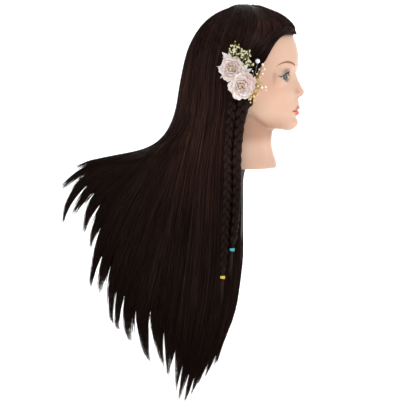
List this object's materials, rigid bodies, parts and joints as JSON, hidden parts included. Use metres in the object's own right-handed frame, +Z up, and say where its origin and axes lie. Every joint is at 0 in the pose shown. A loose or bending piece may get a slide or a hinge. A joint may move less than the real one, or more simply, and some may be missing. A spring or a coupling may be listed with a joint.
{
  "type": "mannequin training head",
  "caption": "Hairdressing practice head with long dark hair, side plaits tied with elastics, a removable flower clip, a fringe pin and a clamp socket in the neck.",
  "frame": {"origin": "centre of the clamp socket's mouth in the flat base of the neck", "axes": "+Z up along the socket, face towards -Y, the head's own right side, with the plaits and flower clip, towards -X"},
  "size_m": [0.1949, 0.426, 0.682],
  "materials": {
    "skin": "soft satin vinyl",
    "hair": "glossy fibre",
    "foam": "rigid foam",
    "socket_plastic": "moulded",
    "steel": "plain",
    "spring_steel": "plain",
    "felt": "felt",
    "petal": "matt fabric",
    "gold_bead": "pearlescent",
    "stem": "wire with tape",
    "gypsophila": "matt",
    "leaf": "matt",
    "organza": "sheer, lustrous",
    "wire": "plain",
    "pearl": "pearlescent",
    "crystal": "faceted",
    "teal_elastic": "matt",
    "yellow_elastic": "matt"
  },
  "bodies": {
    "head": {"face_shell": "skin", "scalp_cap": "skin", "foam_core": "foam", "neck_plug": "socket_plastic", "socket_sleeve": "socket_plastic", "hair_crown": "hair", "hair_right": "hair", "hair_left": "hair", "hair_nape": "hair", "hair_ends_right": "hair", "hair_ends_left": "hair", "hair_sweep_inner": "hair", "hair_sweep_outer": "hair"},
    "fringe_pin": {"fringe_pin": "steel"},
    "clip": {"clip_lower": "steel", "clip_pivot": "steel", "clip_spring": "spring_steel"},
    "ornament": {"clip_upper": "steel", "felt_backing": "felt", "rose_lower": "petal", "rose_upper": "petal", "rose_pearls": "gold_bead", "gyp_stems": "stem", "gyp_blossoms": "gypsophila", "white_leaves": "leaf", "gold_organza": "organza", "pearl_wires": "wire", "spray_pearls": "pearl", "crystal_stone": "crystal"},
    "plait_front": {"plait_front": "hair"},
    "plait_rear": {"plait_rear": "hair"},
    "band_teal": {"band_teal": "teal_elastic"},
    "band_yellow": {"band_yellow": "yellow_elastic"}
  },
  "joints": [
    {"name": "clip_off", "type": "slide", "parent": "head", "child": "clip", "axis": [-1, 0, 0], "range_m": [0, 0.06]},
    {"name": "clip_jaw", "type": "hinge", "parent": "clip", "child": "ornament", "pos_m": [-0.0866, 0.004, 0.187], "axis": [0, 0.7915, -0.6112], "range_deg": [0, 20], "stiffness_Nm_per_rad": 0.05, "springref_deg": -20.05},
    {"name": "pin_out", "type": "slide", "parent": "head", "child": "fringe_pin", "axis": [0, -0.5, -0.866], "range_m": [0, 0.035]},
    {"name": "plait_front_swing", "type": "hinge", "parent": "head", "child": "plait_front", "pos_m": [-0.0832, -0.0205, 0.123], "axis": [0, 1, 0], "range_deg": [0, 35]},
    {"name": "plait_rear_swing", "type": "hinge", "parent": "head", "child": "plait_rear", "pos_m": [-0.0832, -0.004, 0.123], "axis": [0, 1, 0], "range_deg": [0, 35]},
    {"name": "band_teal_off", "type": "slide", "parent": "plait_front", "child": "band_teal", "axis": [0.0187, 0.1087, -0.9939], "range_m": [0, 0.05]},
    {"name": "band_yellow_off", "type": "slide", "parent": "plait_rear", "child": "band_yellow", "axis": [0.012, 0.0709, -0.9974], "range_m": [0, 0.05]}
  ]
}
